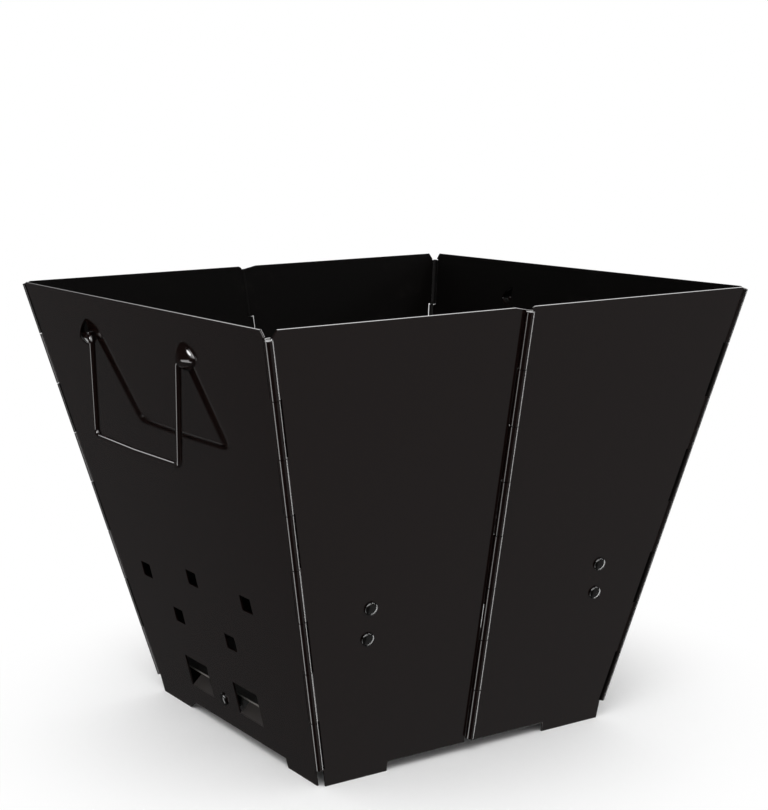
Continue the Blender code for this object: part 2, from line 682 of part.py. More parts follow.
def main():
    basket = Basket("folding_fire_basket")

    side = side_wall_mesh()
    loose_side = side_wall_mesh(loose=True)
    left_half = half_wall_mesh(-1)
    loose_half = half_wall_mesh(-1, loose=True)
    right_half = half_wall_mesh(1)
    basket.piece("left_panel", side, wall_frame(LEFT), "sheet")

    corner = {s: corner_edge(s, s < 0) for s in (-1, 1)}
    centre = centre_edge(-1)
    front_left = basket.axis("front_left_hinge", axis_frame(FRONT, corner[-1]))
    front_centre = basket.axis("front_centre_hinge", axis_frame(FRONT, centre), front_left)
    front_right = basket.axis("front_right_hinge", axis_frame(FRONT, corner[1]), front_centre)
    back_left = basket.axis("back_left_hinge", axis_frame(BACK, corner[1]))
    back_centre = basket.axis("back_centre_hinge", axis_frame(BACK, centre), back_left)
    basket.piece("front_left_half", left_half, wall_frame(FRONT), "sheet", front_left)
    basket.piece("front_right_half", right_half, wall_frame(FRONT), "sheet", front_centre)
    basket.piece("right_panel", loose_side, wall_frame(RIGHT), "sheet", front_right)
    basket.piece("back_left_half", right_half, wall_frame(BACK), "sheet", back_left)
    basket.piece("back_right_half", loose_half, wall_frame(BACK), "sheet", back_centre)

    corner_pin = {s: pin_mesh(edge) for s, edge in corner.items()}
    centre_pin = pin_mesh(centre)
    loose_pin = pin_mesh(corner_edge(-1, True, loose=True), SIDE_KNUCKLES)
    basket.piece("front_left_pin", corner_pin[-1], axis_frame(FRONT, corner[-1]), "pin")
    basket.piece("back_left_pin", corner_pin[1], axis_frame(BACK, corner[1]), "pin")
    basket.piece("front_centre_pin", centre_pin, axis_frame(FRONT, centre), "pin", front_left)
    basket.piece("back_centre_pin", centre_pin, axis_frame(BACK, centre), "pin", back_left)
    basket.piece("front_right_pin", corner_pin[1], axis_frame(FRONT, corner[1]), "pin", front_centre)
    basket.piece("back_right_pin", loose_pin, axis_frame(BACK, corner[-1]), "pin", back_centre)

    underside = height_at(*max(tongue_profile(), key=lambda p: height_at(*p))) + GAP
    catch = catch_mesh(underside)
    catch_rivet = rivet_mesh(SHEET)
    bracket = bracket_mesh()
    bracket_rivet = rivet_mesh(BRACKET_SHEET)

    handle = handle_mesh()
    for name, wall, hinge in (("left", LEFT, None), ("right", RIGHT, front_right)):
        frame = wall_frame(wall)
        pivot = basket.axis(f"{name}_handle_pivot", handle_frame(wall), hinge)
        basket.piece(f"{name}_handle", handle, handle_frame(wall), "wire", pivot)
        at_catch = frame @ Matrix.Translation((CATCH_ALONG, 0, 0))
        basket.piece(f"{name}_base_catch", catch, at_catch, "inner", hinge)
        at_rivet = frame @ Matrix.Translation((CATCH_ALONG, CATCH_RIVET, 0))
        basket.piece(f"{name}_base_rivet", catch_rivet, at_rivet, "rivet", hinge)

    halves = (
        ("front_left", FRONT, -1, front_left),
        ("front_right", FRONT, 1, front_centre),
        ("back_left", BACK, 1, back_left),
        ("back_right", BACK, -1, back_centre),
    )
    for name, wall, side, hinge in halves:
        frame = wall_frame(wall) @ Matrix.Translation((side * BRACKET_ALONG, 0, 0))
        basket.piece(f"{name}_grate_bracket", bracket, frame, "inner", hinge)
        for level, up in zip(("lower", "upper"), BRACKET_RIVETS):
            at_rivet = frame @ Matrix.Translation((0, up, 0))
            basket.piece(f"{name}_{level}_rivet", bracket_rivet, at_rivet, "rivet", hinge)

    base = plate_mesh(BASE_HALF, SHEET, [])
    basket.piece("base_plate", base, Matrix.Translation((0, 0, underside)), "inner")
    grate = plate_mesh(GRATE_HALF, GRATE_SHEET, grate_slots())
    ledge_height = height_at(BRACKET_TOP, -SHEET - GAP)
    basket.piece("fire_grate", grate, Matrix.Translation((0, 0, ledge_height + GAP)), "inner")


main()
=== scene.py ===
# %% [markdown]
# # A folding fire basket
#
# Four sloping walls of black coated sheet steel stand on their own feet. Their edges are rolled into
# knuckles, a pin runs through each row of knuckles, and the front and back walls fold inward in the middle.
# The measured model is the frame: it says where every piece is and how it moves. The cells below give each
# piece its finish, and make the pieces that are seen from near by again with finer curves and soft edges.

# %% Load the measured model
import math

import bmesh
import bpy
from mathutils import Matrix, Vector


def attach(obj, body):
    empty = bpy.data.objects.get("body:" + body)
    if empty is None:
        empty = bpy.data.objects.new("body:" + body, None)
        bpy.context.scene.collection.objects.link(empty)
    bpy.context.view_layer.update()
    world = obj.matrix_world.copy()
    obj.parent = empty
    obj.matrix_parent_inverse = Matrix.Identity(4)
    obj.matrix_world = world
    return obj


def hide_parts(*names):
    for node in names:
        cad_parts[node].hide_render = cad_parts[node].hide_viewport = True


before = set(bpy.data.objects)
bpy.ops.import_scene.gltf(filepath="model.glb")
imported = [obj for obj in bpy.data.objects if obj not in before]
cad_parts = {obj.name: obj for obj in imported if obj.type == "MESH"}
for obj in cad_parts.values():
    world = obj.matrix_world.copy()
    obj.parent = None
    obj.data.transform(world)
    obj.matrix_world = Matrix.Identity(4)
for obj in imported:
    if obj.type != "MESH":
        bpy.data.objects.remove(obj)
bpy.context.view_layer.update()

# %% [markdown]
# ## The camera
#
# The picture was taken from the left front corner, a little above the rim. Its camera was worked out from
# the straight edges of the basket: where it stands, how long its lens is, and how far the picture's middle
# is from the lens's axis. Pixels are those of a picture 768 wide and 810 high.

# %% Place the camera
PICTURE = (768, 810)
CAMERA_TURN = math.radians(32.26)
CAMERA_ABOVE = math.radians(10.94)
CAMERA_ROLL = math.radians(-0.88)
CAMERA_DISTANCE = 1.328
AIM_HEIGHT = 0.213
FOCAL_PIXELS = 1713
LENS_CENTRE = (370.8, 441.3)
SENSOR = 36


def add_camera():
    """A camera with the picture's viewpoint, lens and framing."""
    ahead = Vector((
        math.sin(CAMERA_TURN) * math.cos(CAMERA_ABOVE),
        math.cos(CAMERA_TURN) * math.cos(CAMERA_ABOVE),
        -math.sin(CAMERA_ABOVE),
    ))
    level = Vector((math.cos(CAMERA_TURN), -math.sin(CAMERA_TURN), 0))
    upright = level.cross(ahead)
    right = level * math.cos(CAMERA_ROLL) + upright * math.sin(CAMERA_ROLL)
    up = upright * math.cos(CAMERA_ROLL) - level * math.sin(CAMERA_ROLL)
    data = bpy.data.cameras.new("camera")
    data.sensor_fit = "AUTO"
    data.sensor_width = SENSOR
    data.lens = FOCAL_PIXELS * SENSOR / max(PICTURE)
    data.shift_x = (PICTURE[0] / 2 - LENS_CENTRE[0]) / max(PICTURE)
    data.shift_y = (LENS_CENTRE[1] - PICTURE[1] / 2) / max(PICTURE)
    camera = bpy.data.objects.new("camera", data)
    bpy.context.scene.collection.objects.link(camera)
    turn = Matrix((right, up, -ahead)).transposed().to_4x4()
    eye = Vector((0, 0, AIM_HEIGHT)) - ahead * CAMERA_DISTANCE
    camera.matrix_world = Matrix.Translation(eye) @ turn
    bpy.context.scene.camera = camera
    return camera


camera = add_camera()
print("camera at", tuple(round(v, 3) for v in camera.location))

# %% [markdown]
# ## Writing shader maths as Python
#
# A material's varying numbers are Math nodes. Written one by one they are hard to read, so a small class
# wraps a socket: an expression on its values adds the Math nodes. Every other node comes from one method.

# %% Define the socket wrapper


class Value:
    """A socket whose arithmetic adds Math nodes."""

    def __init__(self, nodes, socket):
        self.nodes = nodes
        self.socket = socket

    def math(self, operation, *others):
        return self.nodes.node("ShaderNodeMath", {"operation": operation}, [self, *others])

    def __add__(self, other):
        return self.math("ADD", other)

    __radd__ = __add__

    def __mul__(self, other):
        return self.math("MULTIPLY", other)

    __rmul__ = __mul__

    def __sub__(self, other):
        return self.math("SUBTRACT", other)

    def __rsub__(self, other):
        return self.nodes.node("ShaderNodeMath", {"operation": "SUBTRACT"}, [other, self])

    def step(self, low, high):
        """0 below low and 1 above high, with a smooth rise between them."""
        settings = {"interpolation_type": "SMOOTHSTEP"}
        return self.nodes.node("ShaderNodeMapRange", settings, [self, low, high, 0.0, 1.0])


class Nodes:
    """The node tree of a material or of the world."""

    def __init__(self, tree):
        self.tree = tree

    def node(self, kind, settings=None, inputs=(), output=0):
        """Adds a node, first its settings and then its sockets, and wraps one of its outputs."""
        made = self.tree.nodes.new(kind)
        for name, value in (settings or {}).items():
            setattr(made, name, value)
        pairs = inputs.items() if isinstance(inputs, dict) else enumerate(inputs)
        for key, value in pairs:
            self.feed(made.inputs[key], value)
        return Value(self, made.outputs[output])

    def feed(self, socket, value):
        if isinstance(value, Value):
            self.tree.links.new(value.socket, socket)
        else:
            socket.default_value = value

    def vector(self, operation, *inputs, output=0):
        """Vector maths: its output is a vector, or a number where output says Value."""
        return self.node("ShaderNodeVectorMath", {"operation": operation}, inputs, output)


class Finish(Nodes):
    """A material, its nodes and its shader."""

    def __init__(self, name):
        self.material = bpy.data.materials.new(name)
        self.material.use_nodes = True
        super().__init__(self.material.node_tree)
        self.shader = self.tree.nodes["Principled BSDF"]

    def set(self, **inputs):
        """Sets the shader's sockets, whose spaces are written as underscores."""
        for name, value in inputs.items():
            self.feed(self.shader.inputs[name.replace("_", " ")], value)

    def place(self):
        """Where a point is on its piece, in metres."""
        return self.node("ShaderNodeTexCoord", output="Object")

    def noise(self, size, detail=3.0, roughness=0.55):
        """Cloudy noise from 0 to 1, whose lumps are about a size across, in metres."""
        inputs = {"Vector": self.place(), "Scale": 1 / size, "Detail": detail, "Roughness": roughness}
        return self.node("ShaderNodeTexNoise", {}, inputs, "Fac")

    def blend(self, amount, first, second):
        """A colour between two colours."""
        settings = {"data_type": "RGBA"}
        inputs = {"Factor": amount, 6: first, 7: second}
        return self.node("ShaderNodeMix", settings, inputs, 2)

    def bump(self, height, strength, distance, under=None):
        inputs = {"Strength": strength, "Distance": distance, "Height": height}
        if under:
            inputs["Normal"] = under
        return self.node("ShaderNodeBump", {}, inputs, "Normal")


# %% [markdown]
# ## The black coat on the sheet
#
# The walls are powder coated: a near-black, even film with very thin orange peel. Nearly all that the eye
# sees on it is a mirror image of the room, so the base colour is almost black, with a trace of brown, and
# the roughness is low. Specks in colour, faint clouds in the gloss and the relief vary over the sheet. The
# two outermost corners are rubbed dull by carrying, so they get the same coat with more roughness.

# %% Make the outer coat
COAT_BLACK = (0.0044, 0.0021, 0.0018, 1)
COAT_WORN = (0.0064, 0.0038, 0.0034, 1)
COAT_GLOSS = 0.5
COAT_VARIES = 0.03
CLOUD_SIZE = 0.030
SPECK_SIZE = 0.0016
SPECKS_FROM = (0.62, 0.78)
PEEL_SIZE = 0.0042
PEEL_HEIGHT = 0.0002
GRIT_SIZE = 0.0010
GRIT_HEIGHT = 0.00005
COAT_RELIEF = 0.05
WALL_ROUGHNESS = 0.09
CORNER_ROUGHNESS = 0.34
WIRE_ROUGHNESS = 0.08


def coated(name, roughness):
    """Satin black powder coat: cloudy by a trace, with thin orange peel."""
    finish = Finish(name)
    cloud = finish.noise(CLOUD_SIZE, detail=4.0)
    specks = finish.noise(SPECK_SIZE, roughness=0.7).step(*SPECKS_FROM)
    finish.set(
        Base_Color=finish.blend(specks, COAT_BLACK, COAT_WORN),
        Roughness=roughness + (cloud - 0.5) * COAT_VARIES + specks * COAT_VARIES,
        Specular_IOR_Level=COAT_GLOSS,
    )
    peel = finish.bump(finish.noise(PEEL_SIZE, detail=2.0), COAT_RELIEF, PEEL_HEIGHT)
    grit = finish.noise(GRIT_SIZE, detail=2.0)
    finish.set(Normal=finish.bump(grit, COAT_RELIEF, GRIT_HEIGHT, peel))
    return finish.material


wall_coat = coated("wall_coat", WALL_ROUGHNESS)
corner_coat = coated("rubbed_corner_coat", CORNER_ROUGHNESS)
wire_coat = coated("wire_coat", WIRE_ROUGHNESS)
print("coats", wall_coat.name, corner_coat.name, wire_coat.name)

# %% [markdown]
# ## The coat inside
#
# The faces that look inward get a finish of their own, darker than the coat outside and without gloss, so
# no mirror image is left: painted shade for the inside of the basket. A little pale ash stays in patches.

# %% Make the inside coat with its painted shade
# Darker than the outer coat: painted shade inside the basket
INSIDE_PAINTED_SHADE = (0.0014, 0.0012, 0.0011, 1)
ASH = (0.0055, 0.0048, 0.0044, 1)
INSIDE_GLOSS = 0.03
INSIDE_ROUGHNESS = 0.48
ASH_ROUGHER = 0.25
DRIFT_SIZE = 0.035
DUST_SIZE = 0.0060
ASH_FROM = (0.54, 0.72)
DUST_RELIEF = 0.15
DUST_HEIGHT = 0.0002


def shaded_inside_coat():
    """A coat without gloss: darker all over as painted shade, and ash where a drift and its dust meet."""
    finish = Finish("shaded_inside_coat")
    drift = finish.noise(DRIFT_SIZE, detail=5.0, roughness=0.6)
    dust = finish.noise(DUST_SIZE, detail=5.0, roughness=0.7)
    ash = (drift * 0.5 + dust * 0.5).step(*ASH_FROM)
    finish.set(
        Base_Color=finish.blend(ash, INSIDE_PAINTED_SHADE, ASH),
        Roughness=INSIDE_ROUGHNESS + ash * ASH_ROUGHER,
        Specular_IOR_Level=INSIDE_GLOSS,
    )
    finish.set(Normal=finish.bump(dust, DUST_RELIEF, DUST_HEIGHT))
    return finish.material


inside_coat = shaded_inside_coat()
print("inside", inside_coat.name)

# %% [markdown]
# ## Painted light on the tongues
#
# The tongues of the windows get a paler, rougher, mottled colour on the faces that look up and out below
# the vents: painted light, standing in for the light that falls on them.

# %% Make the tongues' painted light
# Paler colours painted on the tongues' upward faces, for the light that falls there
TONGUE_PAINTED_LIGHT = (0.0085, 0.0068, 0.0062, 1)
TONGUE_PAINTED_LIGHT_PALER = (0.0150, 0.0122, 0.0112, 1)
TONGUE_GLOSS = 0.3
TONGUE_ROUGHNESS = 0.45
TONGUE_ROUGHER = 0.30
MOTTLE_SIZE = 0.0035
MOTTLE_FROM = (0.35, 0.70)
MOTTLE_RELIEF = 0.10
MOTTLE_HEIGHT = 0.0001


def lit_tongue_coat():
    """Painted light: a paler, mottled colour for faces that look up below the grate."""
    finish = Finish("lit_tongue_coat")
    mottle = finish.noise(MOTTLE_SIZE, detail=5.0, roughness=0.7)
    finish.set(
        Base_Color=finish.blend(mottle.step(*MOTTLE_FROM), TONGUE_PAINTED_LIGHT, TONGUE_PAINTED_LIGHT_PALER),
        Roughness=TONGUE_ROUGHNESS + mottle * TONGUE_ROUGHER,
        Specular_IOR_Level=TONGUE_GLOSS,
    )
    finish.set(Normal=finish.bump(mottle, MOTTLE_RELIEF, MOTTLE_HEIGHT))
    return finish.material


tongue_coat = lit_tongue_coat()
print("tongues", tongue_coat.name)

# %% [markdown]
# ## The rivets' black
#
# The rivet heads are small glossy domes that show the room's lights as points. A smooth black would look
# like plastic, so the colour and the gloss are a little cloudy, and shallow dents bend the mirror images.

# %% Make the rivets' finish
RIVET_DARK = (0.002, 0.002, 0.002, 1)
RIVET_CLOUDED = (0.005, 0.0045, 0.004, 1)
RIVET_GLOSS = 0.45
RIVET_ROUGHNESS = 0.10
RIVET_ROUGHER = 0.08
RIVET_CLOUD_SIZE = 0.004
DENT_SIZE = 0.0015
DENT_RELIEF = 0.10
DENT_HEIGHT = 0.0001


def glossy_black():
    """Glossy black of a rivet's dome."""
    finish = Finish("rivet_black")
    cloud = finish.noise(RIVET_CLOUD_SIZE)
    finish.set(
        Base_Color=finish.blend(cloud, RIVET_DARK, RIVET_CLOUDED),
        Roughness=RIVET_ROUGHNESS + cloud * RIVET_ROUGHER,
        Specular_IOR_Level=RIVET_GLOSS,
    )
    finish.set(Normal=finish.bump(finish.noise(DENT_SIZE, detail=2.0), DENT_RELIEF, DENT_HEIGHT))
    return finish.material


rivet_black = glossy_black()
print("rivets", rivet_black.name)

# %% [markdown]
# ## The pins' worn steel
#
# The pins are rods that show only at their ends, where the coat has worn off in patches. One mask of noise
# drives colour, roughness, metal and relief together, so that a bare patch is bare in every way.

# %% Make the pins' finish
PIN_COAT = (0.008, 0.0075, 0.007, 1)
PIN_BARE = (0.05, 0.048, 0.045, 1)
PIN_GLOSS = 0.4
PIN_METAL = 0.6
PIN_ROUGHNESS = 0.30
PIN_ROUGHER = 0.15
PATCH_SIZE = 0.002
PATCHES_FROM = (0.45, 0.65)
PATCH_RELIEF = 0.15
PATCH_HEIGHT = 0.0001


def worn_steel():
    """Coated rod, bare in patches."""
    finish = Finish("pin_steel")
    wear = finish.noise(PATCH_SIZE, detail=5.0).step(*PATCHES_FROM)
    finish.set(
        Base_Color=finish.blend(wear, PIN_COAT, PIN_BARE),
        Roughness=PIN_ROUGHNESS + wear * PIN_ROUGHER,
        Metallic=wear * PIN_METAL,
        Specular_IOR_Level=PIN_GLOSS,
    )
    finish.set(Normal=finish.bump(wear, PATCH_RELIEF, PATCH_HEIGHT))
    return finish.material


pin_steel = worn_steel()
print("pins", pin_steel.name)

# %% [markdown]
# ## The steel inside
#
# The grate, the base plate and their brackets are the same sheet steel, dulled by heat: soot hides most of
# the coat, and ash lies in patches. The base plate's upright cut edges get a painted highlight: a pale
# colour that stands in for the light that they catch. They are found by the faces' direction: what looks
# neither up nor down is an edge.

# %% Make the sooty steel
STEEL_SOOT = (0.0032, 0.0028, 0.0026, 1)
STEEL_ASH = (0.0130, 0.0118, 0.0108, 1)
# Pale colour of the painted highlight on the plate's upright cut edges
PAINTED_EDGE_HIGHLIGHT = (0.20, 0.19, 0.18, 1)
STEEL_GLOSS = 0.12
STEEL_ROUGHNESS = 0.50
STEEL_ROUGHER = 0.30
STEEL_CLOUD_SIZE = 0.045
GRAIN_SIZE = 0.0020
CLOUD_SHARE = 0.6
STEEL_ASH_FROM = (0.50, 0.72)
HIGHLIGHT_EDGE_FROM = (0.4, 0.9)
HIGHLIGHT_LEAST = 0.6
WARP_RELIEF = 0.2
WARP_HEIGHT = 0.001
GRAIN_RELIEF = 0.25
GRAIN_HEIGHT = 0.0002


def sooty_steel(name, edge_highlight):
    """Steel dulled by soot; with edge_highlight its upright cut edges get a painted highlight."""
    finish = Finish(name)
    cloud = finish.noise(STEEL_CLOUD_SIZE, detail=5.0, roughness=0.6)
    grain = finish.noise(GRAIN_SIZE, detail=4.0, roughness=0.7)
    ash = (cloud * CLOUD_SHARE + grain * (1 - CLOUD_SHARE)).step(*STEEL_ASH_FROM)
    colour = finish.blend(ash, STEEL_SOOT, STEEL_ASH)
    if edge_highlight:
        # Painted highlight: faces that look neither up nor down get a pale colour, as if they caught the
        # light
        way = finish.node("ShaderNodeTexCoord", output="Normal")
        rise = finish.vector("DOT_PRODUCT", way, (0.0, 0.0, 1.0), output="Value")
        edge_highlight_mask = (1 - rise * rise).step(*HIGHLIGHT_EDGE_FROM) * (HIGHLIGHT_LEAST + grain * (1 - HIGHLIGHT_LEAST))
        colour = finish.blend(edge_highlight_mask, colour, PAINTED_EDGE_HIGHLIGHT)
    finish.set(
        Base_Color=colour,
        Roughness=STEEL_ROUGHNESS + ash * STEEL_ROUGHER,
        Specular_IOR_Level=STEEL_GLOSS,
    )
    warp = finish.bump(cloud, WARP_RELIEF, WARP_HEIGHT)
    finish.set(Normal=finish.bump(grain, GRAIN_RELIEF, GRAIN_HEIGHT, warp))
    return finish.material


inner_steel = sooty_steel("sooty_steel", edge_highlight=False)
# The base plate gets the painted highlight on its upright edges
highlit_plate_steel = sooty_steel("plate_steel_painted_highlight", edge_highlight=True)
for name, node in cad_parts.items():
    node.data.materials.clear()
    if name.endswith("_pin"):
        node.data.materials.append(pin_steel)
    elif name == "base_plate":
        node.data.materials.append(highlit_plate_steel)
    else:
        node.data.materials.append(inner_steel)
print("steel inside", inner_steel.name, highlit_plate_steel.name)

# %% [markdown]
# ## Tools for sheet metal
#
# A sheet part is a flat outline with thickness. A 2D curve makes it in one go, holes and all, and the
# curve's own bevel rounds the cut edges, which is what catches the light along the rim. Extruding a mesh and
# bevelling it would do too, but a bevel easily fails at the small notches between knuckles.

# %% Define the sheet tools
SHEET = 0.0015
EDGE_ROUNDING = 0.0003
WELD = 1e-6


def evaluated_mesh(obj):
    """The mesh of an object with its modifiers applied; the object is removed."""
    bpy.context.scene.collection.objects.link(obj)
    bpy.context.view_layer.update()
    mesh = bpy.data.meshes.new_from_object(obj.evaluated_get(bpy.context.evaluated_depsgraph_get()))
    bpy.data.objects.remove(obj)
    return mesh


def cleaned(mesh):
    """Welds a mesh into a closed one whose faces point out."""
    bm = bmesh.new()
    bm.from_mesh(mesh)
    bmesh.ops.remove_doubles(bm, verts=bm.verts, dist=WELD)
    bmesh.ops.recalc_face_normals(bm, faces=bm.faces)
    bm.to_mesh(mesh)
    bm.free()
    return mesh


def extruded(loops, thickness, rounding=EDGE_ROUNDING):
    """A flat outline with holes, as a solid with rounded edges, centred on its thickness along Z."""
    curve = bpy.data.curves.new("outline", "CURVE")
    curve.dimensions = "2D"
    curve.fill_mode = "BOTH"
    curve.extrude = thickness / 2 - rounding
    curve.bevel_depth = rounding
    curve.bevel_resolution = 1
    curve.offset = -rounding
    for loop in loops:
        spline = curve.splines.new("POLY")
        spline.points.add(len(loop) - 1)
        for point, corner in zip(spline.points, loop):
            point.co = (corner[0], corner[1], 0, 1)
        spline.use_cyclic_u = True
    return cleaned(evaluated_mesh(bpy.data.objects.new("outline", curve)))


print("rounding of the sheet's edges", EDGE_ROUNDING)

# %% [markdown]
# ## Joining and cutting
#
# Tongues, ears and knuckles are bent or pressed from the sheet itself. Here they are solids of their own,
# which Booleans join to the flat sheet, and one more Boolean hollows the ears. The exact solver is slower
# than the others, but it copes with faces that nearly meet, as they do all along thin sheet.

# %% Define joining and cutting
SOLVER = "EXACT"


def joined(pieces):
    """One mesh of (mesh, matrix) pieces."""
    bm = bmesh.new()
    for mesh, matrix in pieces:
        placed = mesh.copy()
        placed.transform(matrix)
        bm.from_mesh(placed)
        bpy.data.meshes.remove(placed)
    bmesh.ops.recalc_face_normals(bm, faces=bm.faces)
    result = bpy.data.meshes.new("joined")
    bm.to_mesh(result)
    bm.free()
    return result


def combined(mesh, tool, operation):
    """Boolean of two meshes."""
    cutter = bpy.data.objects.new("cutter", tool)
    bpy.context.scene.collection.objects.link(cutter)
    base = bpy.data.objects.new("base", mesh)
    boolean = base.modifiers.new("boolean", "BOOLEAN")
    boolean.solver = SOLVER
    boolean.operation = operation
    boolean.object = cutter
    result = evaluated_mesh(base)
    bpy.data.objects.remove(cutter)
    return result


print("Boolean solver", SOLVER)

# %% [markdown]
# ## Drawing outlines
#
# An outline is a list of 2D points. A straight run needs only its ends, and a round stretch is an arc worked
# out by a formula, so an outline has just the points that its shape needs.

# %% Define the drawing helpers
ARC_STEPS = 8
CIRCLE_STEPS = 24


def arc(radius, start, end, steps):
    """Points on an arc round the origin, from start to end degrees."""
    angles = [math.radians(start + (end - start) * i / steps) for i in range(steps + 1)]
    return [Vector((radius * math.cos(a), radius * math.sin(a))) for a in angles]


def circle(centre, radius):
    """Points of a circle, going round once."""
    return [Vector(centre) + point for point in arc(radius, 0, 360, CIRCLE_STEPS)[:-1]]


def rectangle(centre, size):
    """The four corners of an upright rectangle."""
    x, y = size[0] / 2, size[1] / 2
    return [Vector(centre) + Vector((a * x, b * y)) for a, b in ((-1, -1), (1, -1), (1, 1), (-1, 1))]


def fillet(before, corner, after, radius, steps=ARC_STEPS):
    """Points of the arc that rounds a corner."""
    to_before = (before - corner).normalized()
    to_after = (after - corner).normalized()
    half = to_before.angle(to_after) / 2
    reach = radius / math.tan(half)
    centre = corner + (to_before + to_after).normalized() * (radius / math.sin(half))
    first = (corner + to_before * reach - centre).normalized()
    last = (corner + to_after * reach - centre).normalized()
    return [centre + first.slerp(last, i / steps) * radius for i in range(steps + 1)]


print("steps in an arc", ARC_STEPS, "and in a circle", CIRCLE_STEPS)

# %% [markdown]
# ## Putting a piece in the scene
#
# A finer piece takes the place of the measured one: it rides on the same body, so it moves with it, and the
# measured one is hidden. Faces are shaded smooth but for sharp edges, and weighted normals keep the flat
# sheet flat beside its rounded edges. Without them a wide flat face would look pillowed.

# %% Define how a piece is shown
SHARP_ANGLE = math.radians(38)


def show(name, mesh, finishes, body, replaced, placing):
    """Puts a piece in the scene, on the body that it rides on and in place of the node that it shows."""
    own = mesh.copy()
    own.name = name
    own.transform(placing)
    own.shade_smooth()
    own.set_sharp_from_angle(angle=SHARP_ANGLE)
    chosen = [face.material_index for face in own.polygons]
    own.materials.clear()
    for finish in finishes:
        own.materials.append(finish)
    own.polygons.foreach_set("material_index", chosen)
    piece = bpy.data.objects.new(name, own)
    bpy.context.scene.collection.objects.link(piece)
    weighted = piece.modifiers.new("flat faces stay flat", "WEIGHTED_NORMAL")
    weighted.keep_sharp = True
    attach(piece, body)
    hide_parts(replaced)
    return piece


print("edges sharp above", round(math.degrees(SHARP_ANGLE)), "degrees")

# %% [markdown]
# ## Where a wall is
#
# Every wall is the front wall turned about the upright middle axis. In its own frame X runs along the wall,
# Y up its slope and Z out of its outer face, so one drawing serves both side walls, and one drawing of each
# half serves front and back.

# %% Define the walls' frame
RIM_HALF = 0.200
GROUND_HALF = 0.1254
HEIGHT = 0.335
TILT = math.atan2(RIM_HALF - GROUND_HALF, HEIGHT)
SLANT = HEIGHT / math.cos(TILT)
FRONT, RIGHT, BACK, LEFT = range(4)


def wall_frame(wall):
    """Frame of a wall's outer face, at the middle of its ground line."""
    s, c = math.sin(TILT), math.cos(TILT)
    front = Matrix(((1, 0, 0, 0), (0, -s, -c, -GROUND_HALF), (0, c, -s, 0), (0, 0, 0, 1)))
    return Matrix.Rotation(wall * math.pi / 2, 4, "Z") @ front


print("walls lean out", round(math.degrees(TILT), 2), "degrees")
print("rim at", round(SLANT, 4), "up the slope")

# %% [markdown]
# ## Hinged edges
#
# Each edge has half of a hinge's knuckles, and its neighbour has those between. One class knows where an
# edge, its knuckles and the hinge's axis are, so the sheet's outline and the rolled knuckles come from the
# same places. The tab line is as far out as the sheet goes to meet its own knuckles, and the recess line is
# as far back as it is cut at the neighbour's.

# %% Define a hinged edge
KNUCKLES = 8
SIDE_KNUCKLES = (0, 2, 4, 6)
HALF_KNUCKLES = (1, 3, 5, 7)
KNUCKLE_RADIUS = 0.0032
KNUCKLE_GAP = 0.0004
LOOSE_KNUCKLE_GAP = 0.0008
LOOSE_RECESS_GAP = 0.0006


class Edge:
    """A hinged edge of a wall: t runs up along it and d from it into the wall.

    A loose edge has more room round its knuckles, for the hinge where the ring of walls is opened.
    """

    def __init__(self, start, lean, inward, axis_inset, axis_out, stack, tab, roll, recess_gap, loose=False):
        self.start = Vector((start, 0))
        self.up = Vector((math.sin(lean), math.cos(lean)))
        self.inward = Vector((self.up.y, -self.up.x)) * inward
        self.axis_inset = axis_inset
        self.axis_out = axis_out
        self.stack = stack
        self.roll = roll
        self.knuckle_gap = LOOSE_KNUCKLE_GAP if loose else KNUCKLE_GAP
        self.tab = axis_inset + tab
        self.recess = axis_inset + KNUCKLE_RADIUS + (LOOSE_RECESS_GAP if loose else recess_gap)

    def point(self, t, d):
        return self.start + self.up * t + self.inward * d

    def at_height(self, y, d):
        """The point y up the slope on the line d inside the edge."""
        return self.point((y - self.inward.y * d) / self.up.y, d)

    def knuckle_span(self, index):
        """Lower and upper end of a knuckle."""
        low, high = self.stack
        pitch = (high - low) / KNUCKLES
        return low + pitch * index + self.knuckle_gap / 2, low + pitch * (index + 1) - self.knuckle_gap / 2

    def axis_point(self, t):
        return self.point(t, self.axis_inset).to_3d() + Vector((0, 0, self.axis_out))


print("knuckles on an edge", KNUCKLES, "of radius", KNUCKLE_RADIUS)

# %% [markdown]
# ## Corner and middle edges
#
# At a corner the sheet bends outward a little and its knuckles curl back inward, so that the barrel lies in
# the corner. In the middle of the front and back walls the knuckles are rolled outward and stand proud.

# %% Place the hinged edges
CORNER_DEPTH = 0.0021
CORNER_ROLL = (175, -150)
CORNER_TAB = 0.0022
CORNER_RECESS_GAP = 0.00006
CENTRE_ROLL = (90, -205)
CENTRE_TAB = -0.0003
CENTRE_RECESS_GAP = -0.00038
CUT_CORNER_STACK = (0.0143, 0.3444)
ROUND_CORNER_STACK = (0.0143, 0.3496)
CENTRE_STACK = (0.0120, 0.3412)
EDGE_LEAN = math.atan(math.sin(TILT))
CORNER_ANGLE = math.pi - math.acos(math.sin(TILT) ** 2)
CORNER_AXIS_INSET = CORNER_DEPTH / math.tan(CORNER_ANGLE / 2)
CENTRE_AXIS_OUT = KNUCKLE_RADIUS - SHEET


def corner_edge(side, cut, loose=False):
    """The left (-1) or right (+1) edge of a wall, whose knuckles curl inward from a slight bend outward.

    At a corner where the rim is cut the hinge ends below the cut, and at a round one it reaches the rim.
    """
    start = side * GROUND_HALF
    lean = side * EDGE_LEAN
    axis = (CORNER_AXIS_INSET, -CORNER_DEPTH)
    stack = CUT_CORNER_STACK if cut else ROUND_CORNER_STACK
    return Edge(start, lean, -side, *axis, stack, CORNER_TAB, CORNER_ROLL, CORNER_RECESS_GAP, loose)


